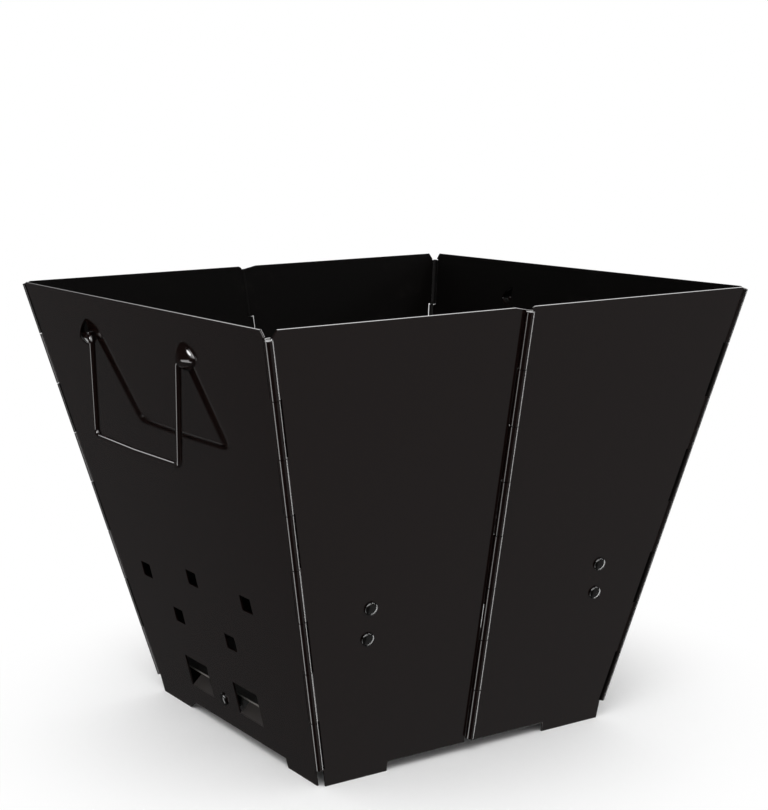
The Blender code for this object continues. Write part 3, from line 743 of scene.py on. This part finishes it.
def centre_edge(side):
    """The middle edge of the left (-1) or right (+1) half wall, whose knuckles are rolled outward."""
    return Edge(0, 0, side, 0, CENTRE_AXIS_OUT, CENTRE_STACK, CENTRE_TAB, CENTRE_ROLL, CENTRE_RECESS_GAP)


print("corner angle", round(math.degrees(CORNER_ANGLE), 2), "degrees")

# %% [markdown]
# ## Rolled knuckles
#
# A knuckle is the sheet's own edge rolled round a pin: in cross section a ring of sheet that isn't quite
# closed. Two arcs draw it, and the sheet tool gives it its length and soft ends. It is sunk and shortened
# by a hair against the sheet that it grows from, so that no two of their faces lie in one plane, which
# Booleans dislike.

# %% Define the rolls
ROLL_STEPS = 40
ROLL_SINK = 0.00002
ROLL_SHORTER = 0.0001
ROLL_ROUNDING = 0.0002


def rolls(edge, owned):
    """The rolled knuckles that a wall owns on one edge, as (mesh, matrix) pieces."""
    start, end = edge.roll
    outer = arc(KNUCKLE_RADIUS - ROLL_SINK, start, end, ROLL_STEPS)
    inner = arc(KNUCKLE_RADIUS - SHEET - ROLL_SINK, end, start, ROLL_STEPS)
    outward = -edge.inward.to_3d()
    tangent_side = Vector((0, 0, -math.copysign(1, edge.axis_out)))
    turn = Matrix((outward, tangent_side, outward.cross(tangent_side))).transposed().to_4x4()
    pieces = []
    for index in owned:
        low, high = edge.knuckle_span(index)
        place = Matrix.Translation(edge.axis_point((low + high) / 2)) @ turn
        pieces.append((extruded([outer + inner], high - low - ROLL_SHORTER, ROLL_ROUNDING), place))
    return pieces


print("sides of a roll", 2 * ROLL_STEPS)

# %% [markdown]
# ## The outline of a wall
#
# Going round a wall: level feet with a raised edge between them, a hinged edge, the straight rim, and the
# other hinged edge. Beside a neighbour's knuckle the sheet is cut back, so that the knuckle can turn. The
# rim's ends are cut at the near corners and rounded at the far ones.

# %% Draw the edges
FOOT_RISE = 0.0077
BELOW_GROUND = 0.001
CORNER_CUT_ALONG = 0.0038
CORNER_CUT_DOWN = 0.0048
CORNER_ROUND = 0.0014
CORNER_FOOT_INSET = 0.0019
CENTRE_ROUND = 0.0035
CENTRE_SLOPE_ALONG = 0.0110


def stepped_edge(edge, base, step, indexes, widened):
    """An edge's outline up its stack: on the base line, but on the step line at some knuckles."""
    points = []
    for index in indexes:
        start, end = edge.knuckle_span(index)
        start -= widened
        end += widened
        points += [edge.point(start, base), edge.point(start, step)]
        points += [edge.point(end, step), edge.point(end, base)]
    return points


def corner_outline(edge, side, owned, cut):
    """A wall's outer edge from foot to rim: recessed at the neighbour's knuckles, its top cut or rounded."""
    neighbours = [index for index in range(KNUCKLES) if index not in owned]
    steps = stepped_edge(edge, edge.tab, edge.recess, neighbours, edge.knuckle_gap)
    top = edge.at_height(SLANT, edge.tab)
    if cut:
        cut_start = edge.at_height(SLANT - CORNER_CUT_DOWN, edge.tab)
        cut_end = top - Vector((side * CORNER_CUT_ALONG, 0))
        return [edge.at_height(-BELOW_GROUND, edge.tab), *steps, cut_start, cut_end]
    foot_end = Vector((side * (GROUND_HALF - CORNER_FOOT_INSET), -BELOW_GROUND))
    foot_start = edge.point(edge.stack[0] - edge.knuckle_gap, edge.tab)
    if KNUCKLES - 1 in neighbours:
        steps = steps[:-2]
        top = edge.at_height(SLANT, edge.recess)
    path = [foot_end, foot_start, *steps]
    return path + fillet(path[-1], top, top - Vector((side, 0)), CORNER_ROUND)


def centre_outline(side, owned):
    """A half wall's middle edge from its raised bottom to the rim: tabs where it owns the knuckle."""
    edge = centre_edge(side)
    points = [edge.point(FOOT_RISE, edge.recess)]
    points += stepped_edge(edge, edge.recess, edge.tab, owned, 0)
    if KNUCKLES - 1 in owned:
        return points[:-1] + [Vector((side * CENTRE_SLOPE_ALONG, SLANT))]
    top = edge.point(SLANT, edge.recess)
    return points + fillet(points[-1], top, top + Vector((side, 0)), CENTRE_ROUND)


def wall_sheet(outline, holes):
    """The flat sheet of a wall, its outer face at Z = 0."""
    mesh = extruded([outline, *holes], SHEET)
    mesh.transform(Matrix.Translation((0, 0, -SHEET / 2)))
    return mesh


print("feet stand", FOOT_RISE, "below the raised edge")

# %% [markdown]
# ## A finish for every face
#
# One wall shows up to four finishes: the coat outside, the painted shade inside, the painted light on the
# tongues and the rubbed corner. Each face is asked where it is and which way it looks in the wall's own
# frame, so the finish follows the metal through holes and bends. The feet are cut level, as a leaning sheet
# would stand on one edge.

# %% Choose the faces' finishes and cut the feet level
INWARD = -0.5
SIDEWAYS = 0.2
DEEP = -0.0009
MIDDLE_REACH = 0.006
SLANTED = 0.3
BELOW_VENTS = 0.060
OUTER, INNER, TONGUE_TOP, RUBBED = range(4)


def lined(mesh, rubbed_edge=None):
    """Chooses each face's finish: inside the basket, on a tongue's top, on a rubbed corner, or outside."""
    for face in mesh.polygons:
        centre, normal = face.center, face.normal
        middle_edge = abs(centre.x) < MIDDLE_REACH and centre.z < DEEP and normal.z < SIDEWAYS
        if normal.z < INWARD or middle_edge:
            # Faces that look inward get the inside coat with its painted shade
            face.material_index = INNER
        elif centre.y < BELOW_VENTS and min(normal.y, normal.z) > SLANTED:
            # Tongue faces that look up and out below the vents get the painted light
            face.material_index = TONGUE_TOP
        elif rubbed_edge and (centre.xy - rubbed_edge.start).dot(rubbed_edge.inward) < rubbed_edge.tab:
            face.material_index = RUBBED
        else:
            face.material_index = OUTER
    return mesh


def cut_at_ground(mesh):
    """Cuts a wall level with the ground, so that its feet stand on flat faces."""
    to_wall = wall_frame(FRONT).inverted()
    bm = bmesh.new()
    bm.from_mesh(mesh)
    everything = bm.verts[:] + bm.edges[:] + bm.faces[:]
    ground = to_wall @ Vector((0, 0, 0))
    down = to_wall.to_3x3() @ Vector((0, 0, -1))
    cut = bmesh.ops.bisect_plane(bm, geom=everything, plane_co=ground, plane_no=down, clear_outer=True)
    rim = [part for part in cut["geom_cut"] if isinstance(part, bmesh.types.BMEdge)]
    bmesh.ops.holes_fill(bm, edges=rim)
    bmesh.ops.recalc_face_normals(bm, faces=bm.faces)
    if bm.calc_volume(signed=True) < 0:
        bmesh.ops.reverse_faces(bm, faces=bm.faces)
    bm.to_mesh(mesh)
    bm.free()
    return mesh


print("finishes of a wall", RUBBED + 1)

# %% [markdown]
# ## Windows and tongues
#
# Low in a side wall are two windows. Their sheet isn't cut away: it is bent in as a tongue, on which the
# base plate rests. A tongue is drawn in cross section, so its rise is one angle, and then given its width.

# %% Define a window's tongue
WINDOW_SIZE = (0.0370, 0.0260)
WINDOW_CENTRES = (-0.0421, 0.0366)
WINDOW_MIDDLE = 0.0380
TONGUE_LENGTH = 0.0110
TONGUE_RISE = math.radians(43)
TONGUE_SIDE_GAP = 0.0010
TONGUE_ROOT = 0.0004


def tongue():
    """The tongue bent in from a window's lower edge, in the wall's frame at X = 0."""
    lean = TONGUE_RISE - TILT
    ahead = Vector((math.sin(lean), -math.cos(lean)))
    left = Vector((-ahead.y, ahead.x))
    root = Vector((WINDOW_MIDDLE - WINDOW_SIZE[1] / 2 - TONGUE_ROOT, -SHEET / 2)) - left * (SHEET / 2)
    tip = root + ahead * TONGUE_LENGTH
    outline = [root, tip, tip + left * SHEET, root + left * SHEET]
    mesh = extruded([outline], WINDOW_SIZE[0] - 2 * TONGUE_SIDE_GAP, ROLL_ROUNDING)
    mesh.transform(Matrix(((0, 0, 1), (1, 0, 0), (0, 1, 0))).to_4x4())
    return mesh


print("tongues rise", round(math.degrees(TONGUE_RISE)), "degrees")

# %% [markdown]
# ## The pressed ears
#
# Near the rim two ears are pressed out of the sheet. An ear is a skewed half dome, slit on the side of the
# handle, so that the wire's end can slip in. Half a ball gives its form: its lower side is shorter than its
# upper one, and a power below 2 draws it to a point. A smaller one hollows it.

# %% Define an ear
PIVOT_UP = 0.3115
EAR_SECTORS = 56
EAR_RINGS = 32
EAR_SHIFT = -0.0055
EAR_SLIT = 0.0805
EAR_LENGTH = 0.0150
EAR_UP = 0.0119
EAR_DOWN = 0.0094
EAR_FORM = {"mouth": 0, "wall_inset": 0, "proud": 0.0080, "power": 1.4, "below": 0.0008}
EAR_HOLLOW = {"mouth": -0.03, "wall_inset": SHEET, "proud": 0.0071, "power": 1.5, "below": 0.0060}


def pressed_ear(side, mouth, wall_inset, proud, power, below):
    """Half of a pointed dome, open towards the handle: a pressed ear's outer form, or its hollow."""
    bm = bmesh.new()
    bmesh.ops.create_uvsphere(bm, u_segments=EAR_SECTORS, v_segments=EAR_RINGS, radius=1)
    everything = bm.verts[:] + bm.edges[:] + bm.faces[:]
    cut = bmesh.ops.bisect_plane(
        bm, geom=everything, plane_co=(mouth, 0, 0), plane_no=(-1, 0, 0), clear_outer=True
    )
    rim = [part for part in cut["geom_cut"] if isinstance(part, bmesh.types.BMEdge)]
    bmesh.ops.holes_fill(bm, edges=rim)
    for vertex in bm.verts:
        reach = sum(abs(part) ** power for part in vertex.co) ** (1 / power)
        x, y, z = vertex.co / reach
        along = side * (EAR_SLIT + x * (EAR_LENGTH - wall_inset))
        up = y * ((EAR_UP if y > 0 else EAR_DOWN) - wall_inset)
        out = z * (proud if z > 0 else below)
        vertex.co = (EAR_SHIFT + along, PIVOT_UP + up, out)
    bmesh.ops.recalc_face_normals(bm, faces=bm.faces)
    mesh = bpy.data.meshes.new("ear")
    bm.to_mesh(mesh)
    bm.free()
    return mesh


print("ears", EAR_LENGTH, "long, proud by", EAR_FORM["proud"])

# %% [markdown]
# ## The side walls
#
# A side wall has a zigzag of square vents above its windows and two feet, of which the far one is sloped.
# The flat sheet comes first, then its tongues and ears, then the hollows of the ears, and the knuckles last.

# %% Make the side walls
VENT_SIZE = (0.0155, 0.0120)
VENT_SPACING = 0.0423
VENT_SHIFT = -0.0092
VENT_ROWS = (0.1160, 0.0870, 0.1285, 0.0871, 0.1286)
SIDE_FOOT_NEAR = 0.0800
SIDE_FOOT_FAR = 0.0760
SIDE_FOOT_FAR_TOP = 0.0634
CATCH_ALONG = -0.0051
CATCH_RIVET = 0.0295
RIVET_HOLE = 0.0023


def side_wall_mesh(loose):
    """A side wall in its own frame; a loose one has more room at its near edge."""
    near_edge = corner_edge(1, True, loose)
    far_edge = corner_edge(-1, False)
    far_foot_slope = (SIDE_FOOT_FAR - SIDE_FOOT_FAR_TOP) / FOOT_RISE
    bottom = [
        Vector((-SIDE_FOOT_FAR - far_foot_slope * BELOW_GROUND, -BELOW_GROUND)),
        Vector((-SIDE_FOOT_FAR_TOP, FOOT_RISE)),
        Vector((SIDE_FOOT_NEAR, FOOT_RISE)),
        Vector((SIDE_FOOT_NEAR, -BELOW_GROUND)),
    ]
    near = corner_outline(near_edge, 1, SIDE_KNUCKLES, cut=True)
    far = corner_outline(far_edge, -1, SIDE_KNUCKLES, cut=False)
    middle = (len(VENT_ROWS) - 1) / 2
    vents = [
        rectangle((VENT_SHIFT + (index - middle) * VENT_SPACING, row), VENT_SIZE)
        for index, row in enumerate(VENT_ROWS)
    ]
    windows = [rectangle((along, WINDOW_MIDDLE), WINDOW_SIZE) for along in WINDOW_CENTRES]
    rivet_hole = circle((CATCH_ALONG, CATCH_RIVET), RIVET_HOLE)
    flat = wall_sheet(bottom + near + far[::-1], vents + windows + [rivet_hole])
    still = Matrix.Identity(4)
    bent = tongue()
    added = [(bent, Matrix.Translation((along, 0, 0))) for along in WINDOW_CENTRES]
    added += [(pressed_ear(side, **EAR_FORM), still) for side in (-1, 1)]
    wall = combined(flat, joined(added), "UNION")
    hollows = joined([(pressed_ear(side, **EAR_HOLLOW), still) for side in (-1, 1)])
    wall = combined(wall, hollows, "DIFFERENCE")
    knuckles = rolls(far_edge, SIDE_KNUCKLES) + rolls(near_edge, SIDE_KNUCKLES)
    return lined(cut_at_ground(combined(wall, joined(knuckles), "UNION")), far_edge)


WALL_FINISHES = (wall_coat, inside_coat, tongue_coat, corner_coat)
for name, wall, loose in (("left", LEFT, False), ("right", RIGHT, True)):
    mesh = side_wall_mesh(loose)
    node = f"{name}_panel"
    show(f"{name}_wall", mesh, WALL_FINISHES, f"{name}_side", node, wall_frame(wall))
    print(name, "wall faces", len(mesh.polygons))

# %% [markdown]
# ## The front and back walls
#
# Each is two halves. The corner knuckles are rolled inward and lie in the corner; the middle ones are rolled
# outward and stand proud of the wall as a barrel, which is what lets the halves fold inward.

# %% Make the half walls
HALF_FOOT_INNER = 0.0700
BRACKET_ALONG = 0.100
BRACKET_RIVETS = (0.1130, 0.1365)


def half_wall_mesh(side, loose=False):
    """The left (-1) or right (+1) half of the front wall."""
    on_left = side < 0
    outer_edge = corner_edge(side, on_left, loose)
    owned = HALF_KNUCKLES if on_left else SIDE_KNUCKLES
    outer = corner_outline(outer_edge, side, HALF_KNUCKLES, cut=on_left)
    middle = centre_outline(side, owned)
    foot = [
        Vector((side * HALF_FOOT_INNER, -BELOW_GROUND)),
        Vector((side * HALF_FOOT_INNER, FOOT_RISE)),
    ]
    rivet_holes = [circle((side * BRACKET_ALONG, up), RIVET_HOLE) for up in BRACKET_RIVETS]
    flat = wall_sheet(outer[::-1] + foot + middle, rivet_holes)
    knuckles = rolls(outer_edge, HALF_KNUCKLES) + rolls(centre_edge(side), owned)
    wall = cut_at_ground(combined(flat, joined(knuckles), "UNION"))
    return lined(wall, None if on_left else outer_edge)


left_half = half_wall_mesh(-1)
loose_half = half_wall_mesh(-1, loose=True)
right_half = half_wall_mesh(1)
for name, wall, mesh in (
    ("front_left", FRONT, left_half),
    ("front_right", FRONT, right_half),
    ("back_left", BACK, right_half),
    ("back_right", BACK, loose_half),
):
    show(f"{name}_wall", mesh, WALL_FINISHES, name, f"{name}_half", wall_frame(wall))
print("half wall faces", len(left_half.polygons), len(right_half.polygons))

# %% [markdown]
# ## The handles
#
# A handle is one bent wire. Its ends turn outward into the ears, it hangs straight down from them, and its
# bottom bar bows a little. A curve with a round bevel gives the wire, with enough points in the bends.

# %% Make the handles
HANDLE_RADIUS = 0.0024
HANDLE_LEG = 0.0722
HANDLE_FOOT = 0.0691
HANDLE_END = 0.0842
HANDLE_DROP = 0.0748
HANDLE_BOW = 0.0010
HANDLE_END_BEND = 0.0055
HANDLE_CORNER_BEND = 0.0060
HANDLE_SHIFT = -0.0035
PIVOT_OUT = 0.0029
BEND_STEPS = 12
WIRE_SIDES = 24


def handle_path():
    """The wire's middle line: X along the wall, Y up."""
    half = [
        Vector((-HANDLE_END, 0)),
        Vector((-HANDLE_LEG, 0)),
        Vector((-HANDLE_FOOT, -HANDLE_DROP)),
        Vector((0, -HANDLE_DROP - HANDLE_BOW)),
    ]
    bends = (HANDLE_END_BEND, HANDLE_CORNER_BEND)
    path = [half[0]]
    for before, corner, after, radius in zip(half, half[1:], half[2:], bends):
        path += fillet(before, corner, after, radius, BEND_STEPS)
    path.append(half[-1])
    return path + [Vector((-p.x, p.y)) for p in path[-2::-1]]


def handle_mesh():
    """The bent wire, with its ends closed."""
    curve = bpy.data.curves.new("wire", "CURVE")
    curve.dimensions = "3D"
    curve.bevel_depth = HANDLE_RADIUS
    curve.bevel_resolution = WIRE_SIDES // 2 - 2
    curve.use_fill_caps = True
    path = handle_path()
    spline = curve.splines.new("POLY")
    spline.points.add(len(path) - 1)
    for point, place in zip(spline.points, path):
        point.co = (place.x, 0, place.y, 1)
    return cleaned(evaluated_mesh(bpy.data.objects.new("wire", curve)))


def handle_frame(wall):
    """World frame on a handle's pivot: X along the wall, Z straight up."""
    frame_of_wall = wall_frame(wall)
    along = frame_of_wall.to_3x3() @ Vector((1, 0, 0))
    up = Vector((0, 0, 1))
    turn = Matrix((along, up.cross(along), up)).transposed().to_4x4()
    return Matrix.Translation(frame_of_wall @ Vector((HANDLE_SHIFT, PIVOT_UP, PIVOT_OUT))) @ turn


handle = handle_mesh()
for name, wall in (("left", LEFT), ("right", RIGHT)):
    node = f"{name}_handle"
    show(f"{name}_bail", handle, [wire_coat], node, node, handle_frame(wall))
print("handle faces", len(handle.polygons))

# %% [markdown]
# ## The rivets
#
# A rivet is turned: a domed head outside with a thin flat collar, a shank through the sheet, and a flattened
# tail inside. A profile and a Screw modifier make it.

# %% Make the rivets
GAP = 0.0003
RIVET_SHANK = 0.0020
RIVET_HEAD = 0.0050
RIVET_DOME = 0.0026
RIVET_COLLAR = 0.0004
RIVET_TAIL = 0.0036
RIVET_TAIL_HEIGHT = 0.0014
TAIL_CHAMFER = 0.0004
TAIL_WAIST = 0.95
TAIL_TIP = 0.8
BRACKET_SHEET = 0.0020
DOME_STEPS = 12
TURN_STEPS = 32
TURN_WELD = 1e-5


def turned(profile):
    """A solid turned about Z from a profile of (radius, height) points, top to bottom."""
    mesh = bpy.data.meshes.new("profile")
    vertices = [(radius, 0, z) for radius, z in profile]
    mesh.from_pydata(vertices, [(i, i + 1) for i in range(len(profile) - 1)], [])
    obj = bpy.data.objects.new("profile", mesh)
    screw = obj.modifiers.new("turn", "SCREW")
    screw.steps = TURN_STEPS
    screw.render_steps = TURN_STEPS
    screw.use_merge_vertices = True
    screw.merge_threshold = TURN_WELD
    return cleaned(evaluated_mesh(obj))


def rivet_mesh(leaf):
    """A rivet through a wall and a leaf of some thickness, its head outside."""
    grip = SHEET + GAP + leaf
    dome_height = RIVET_DOME - RIVET_COLLAR
    dome = [
        (RIVET_HEAD * p.x, GAP + RIVET_COLLAR + dome_height * p.y)
        for p in arc(1, 90, 0, DOME_STEPS)
    ]
    inner = -grip - GAP
    low = inner - RIVET_TAIL_HEIGHT
    shank = [(RIVET_HEAD, GAP), (RIVET_SHANK, GAP), (RIVET_SHANK, inner)]
    tail = [
        (RIVET_TAIL, inner),
        (RIVET_TAIL * TAIL_WAIST, low + TAIL_CHAMFER),
        (RIVET_TAIL * TAIL_TIP, low),
        (0, low),
    ]
    return turned([(0, dome[0][1])] + dome[1:] + shank + tail)


base_rivet = rivet_mesh(SHEET)
bracket_rivet = rivet_mesh(BRACKET_SHEET)
rivets = []
for name, wall in (("left", LEFT), ("right", RIGHT)):
    at = wall_frame(wall) @ Matrix.Translation((CATCH_ALONG, CATCH_RIVET, 0))
    node = f"{name}_base_rivet"
    rivets.append(show(f"{node}_dome", base_rivet, [rivet_black], f"{name}_side", node, at))
for name, wall, side in (
    ("front_left", FRONT, -1),
    ("front_right", FRONT, 1),
    ("back_left", BACK, 1),
    ("back_right", BACK, -1),
):
    for level, up in zip(("lower", "upper"), BRACKET_RIVETS):
        at = wall_frame(wall) @ Matrix.Translation((side * BRACKET_ALONG, up, 0))
        node = f"{name}_{level}_rivet"
        rivets.append(show(f"{node}_dome", bracket_rivet, [rivet_black], name, node, at))
print("rivets", len(rivets))

# %% [markdown]
# ## The floor
#
# The floor is pale and plain. Away from the basket it turns white to the camera, so that it has no horizon,
# and near the basket it keeps the soft shadow. The coat's mirror images come from the room alone, so the
# floor is left out of them.

# %% Lay the floor
FLOOR_SIZE = 40
FLOOR_PALE = (0.95, 0.95, 0.95, 1)
SHADOW_REACH = (0.14, 0.36)


def add_floor():
    """A wide floor that keeps the shadow and is white to the camera beyond it."""
    mesh = bpy.data.meshes.new("floor")
    corners = [(*corner, 0) for corner in rectangle((0, 0), (FLOOR_SIZE, FLOOR_SIZE))]
    mesh.from_pydata(corners, [], [(0, 1, 2, 3)])
    floor = bpy.data.objects.new("floor", mesh)
    bpy.context.scene.collection.objects.link(floor)
    floor.visible_glossy = False
    paint = Finish("floor_paint")
    paint.set(Base_Color=FLOOR_PALE, Roughness=0.9, Specular_IOR_Level=0.1)
    away = paint.vector("LENGTH", paint.place(), output="Value")
    seen = paint.node("ShaderNodeLightPath", output="Is Camera Ray")
    white = paint.node("ShaderNodeEmission", {}, {"Color": (1, 1, 1, 1), "Strength": 1.0})
    output = paint.tree.nodes["Material Output"]
    matte = Value(paint, paint.shader.outputs["BSDF"])
    mixed = paint.node("ShaderNodeMixShader", {}, [seen * away.step(*SHADOW_REACH), matte, white])
    paint.tree.links.new(mixed.socket, output.inputs["Surface"])
    mesh.materials.append(paint.material)


add_floor()
print("floor", FLOOR_SIZE, "m")

# %% [markdown]
# ## The light
#
# A black coat is lit by what it mirrors. The room is white to the camera and evenly bright to dull surfaces.
# For mirror images it is painted by direction, as a studio is arranged round a black product: dark, but for
# two low panels that the flat walls mirror, a light above and beyond it for the rim, two tall strips whose
# images run down the rolled knuckles and the wire, and three small lamps that show as points on the domes.
# One broad lamp makes the shadow.

# %% Light the room
ROOM_LIGHT = 0.88
DARK_ROOM = 0.02
PANELS = (
    ((-0.515, 0.857, 0.0), 34, 0.065),
    ((0.515, -0.857, 0.0), 34, 0.24),
)
PANEL_TOP = (0.1, 0.3)
BEYOND = (0.53, 0.85, 0.0)
BEYOND_FROM = (0.30, 0.60)
ABOVE = 4.0
ABOVE_FROM = (0.22, 0.50)
STRIPS = (
    ((-0.989, 0.148, 0.0), 15, 5.0),
    ((0.990, -0.140, 0.0), 6, 9.0),
)
STRIP_FOOT = (-0.95, -0.85)
STRIP_TOP = (-0.10, 0.0)
SOFT_EDGE = 0.7
SPOTS = (
    ((-0.78, -0.10, 0.62), 11, 22.0),
    ((0.52, -0.52, 0.68), 8, 22.0),
    ((0.80, -0.50, 0.33), 6, 16.0),
)
LAMP_PLACE = (-1.2, -1.6, 2.4)
LAMP_SIZE = 1.6
LAMP_POWER = 34


def mirrored_room(room):
    """How bright the room is in a mirror image, by the direction of the ray."""
    way = room.node("ShaderNodeTexCoord", output="Generated")
    rise = room.vector("DOT_PRODUCT", way, (0.0, 0.0, 1.0), output="Value")
    level = room.vector("NORMALIZE", room.vector("MULTIPLY", way, (1.0, 1.0, 0.0)))
    low = 1 - rise.step(*PANEL_TOP)
    tall = rise.step(*STRIP_FOOT) * (1 - rise.step(*STRIP_TOP))
    beyond = room.vector("DOT_PRODUCT", level, BEYOND, output="Value")
    brightness = DARK_ROOM + ABOVE * rise.step(*ABOVE_FROM) * (beyond * beyond).step(*BEYOND_FROM)
    for shapes, compass, reach in ((PANELS, level, low), (STRIPS, level, tall), (SPOTS, way, 1.0)):
        for direction, half_width, strength in shapes:
            outer = math.cos(math.radians(half_width))
            inner = math.cos(math.radians(half_width * SOFT_EDGE))
            across = room.vector("DOT_PRODUCT", compass, direction, output="Value").step(outer, inner)
            brightness = brightness + across * reach * strength
    return brightness


def light_room():
    """White to the camera, even to dull surfaces, and painted by direction to mirrors."""
    world = bpy.data.worlds.new("room")
    world.use_nodes = True
    room = Nodes(world.node_tree)
    seen, mirror, through = [
        room.node("ShaderNodeLightPath", output=ray)
        for ray in ("Is Camera Ray", "Is Glossy Ray", "Is Transmission Ray")
    ]
    dull = 1 - seen - mirror - through
    strength = seen + through + mirror * mirrored_room(room) + dull * ROOM_LIGHT
    background = room.tree.nodes["Background"]
    background.inputs["Color"].default_value = (1, 1, 1, 1)
    room.feed(background.inputs["Strength"], strength)
    bpy.context.scene.world = world


def add_lamp():
    """One broad lamp over the left front corner, turned to the basket."""
    data = bpy.data.lights.new("broad_lamp", "AREA")
    data.size = LAMP_SIZE
    data.energy = LAMP_POWER
    lamp = bpy.data.objects.new("broad_lamp", data)
    lamp.location = LAMP_PLACE
    lamp.rotation_mode = "QUATERNION"
    lamp.rotation_quaternion = Vector(LAMP_PLACE).to_track_quat("Z", "Y")
    bpy.context.scene.collection.objects.link(lamp)


light_room()
add_lamp()
bpy.context.scene.view_settings.view_transform = "Standard"
print("strips", len(STRIPS), "lamp", LAMP_POWER, "W")
